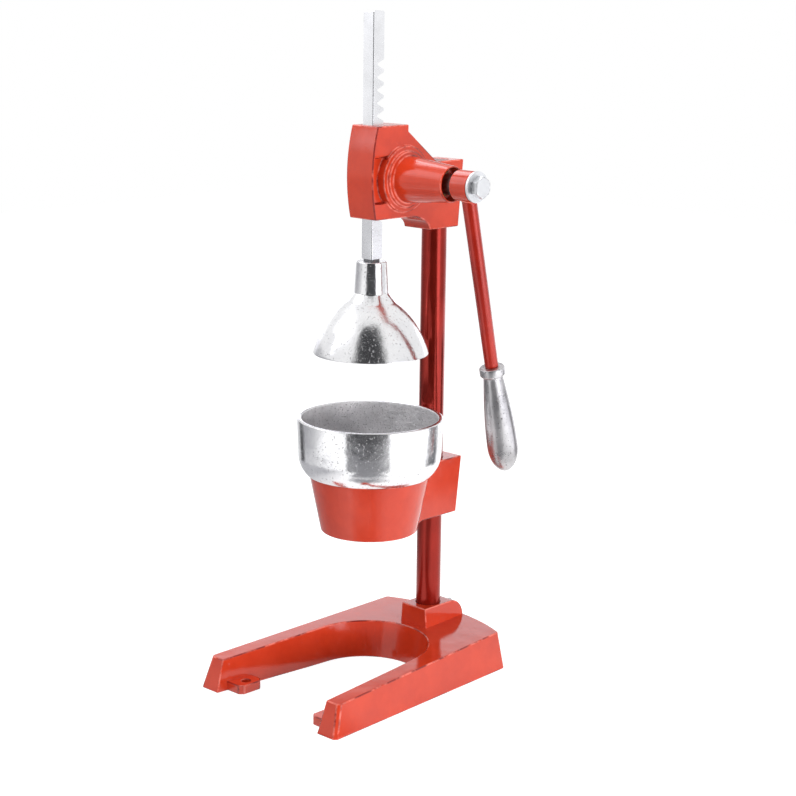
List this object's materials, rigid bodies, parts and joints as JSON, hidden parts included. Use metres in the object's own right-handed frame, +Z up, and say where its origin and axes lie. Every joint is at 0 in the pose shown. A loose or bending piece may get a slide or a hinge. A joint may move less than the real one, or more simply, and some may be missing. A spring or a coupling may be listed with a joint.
{
  "type": "citrus press",
  "caption": "Hand-lever citrus press: cast horseshoe base, round column, cup on a holder, and a bell on a toothed ram driven by a lever and pinion.",
  "frame": {"origin": "on the bench, midway between the two bench bolt holes in the base's lugs", "axes": "+Z up along the column, -Y to the front, +X to the lever's side"},
  "size_m": [0.1952, 0.2477, 0.603],
  "materials": {
    "red_paint": "gloss enamel over castings",
    "polished_aluminium": "polished, with casting pits",
    "cast_aluminium": "satin as cast",
    "milled_aluminium": "bright milled",
    "zinc_plate": "bright zinc",
    "steel": "turned steel",
    "bronze": "turned bronze"
  },
  "bodies": {
    "frame": {"base": "red_paint", "column": "red_paint", "base_set_screw": "steel", "cup_holder": "red_paint", "holder_set_screw": "steel", "head": "red_paint", "head_set_screws": "steel", "pinion_cover": "red_paint", "cover_screws": "steel", "bush_right": "bronze", "bush_left": "bronze"},
    "cup": {"cup": "polished_aluminium", "strainer": "cast_aluminium"},
    "ram": {"rack": "milled_aluminium", "press_bell": "polished_aluminium", "bell_screw": "steel"},
    "crank": {"pinion_shaft": "steel", "pinion": "steel", "pinion_key": "steel", "thrust_washers": "bronze", "lever_arm": "red_paint", "lever_key": "steel", "lever_washer": "zinc_plate", "lever_bolt": "zinc_plate", "grip": "cast_aluminium", "grip_pin": "steel"}
  },
  "joints": [
    {"name": "lever_turn", "type": "hinge", "parent": "frame", "child": "crank", "pos_m": [0, 0.127, 0.459], "axis": [1, 0, 0], "range_deg": [-60, 232]},
    {"name": "rack_slide", "type": "slide", "parent": "frame", "child": "ram", "axis": [0, 0, 1], "range_m": [-0.0851, 0.022]},
    {"name": "cup_turn", "type": "hinge", "parent": "frame", "child": "cup", "pos_m": [0, 0.103, 0.2], "axis": [0, 0, 1], "continuous": true}
  ],
  "couplings": [
    {"joint": "rack_slide", "follows": "lever_turn", "m_per_rad": -0.021}
  ]
}
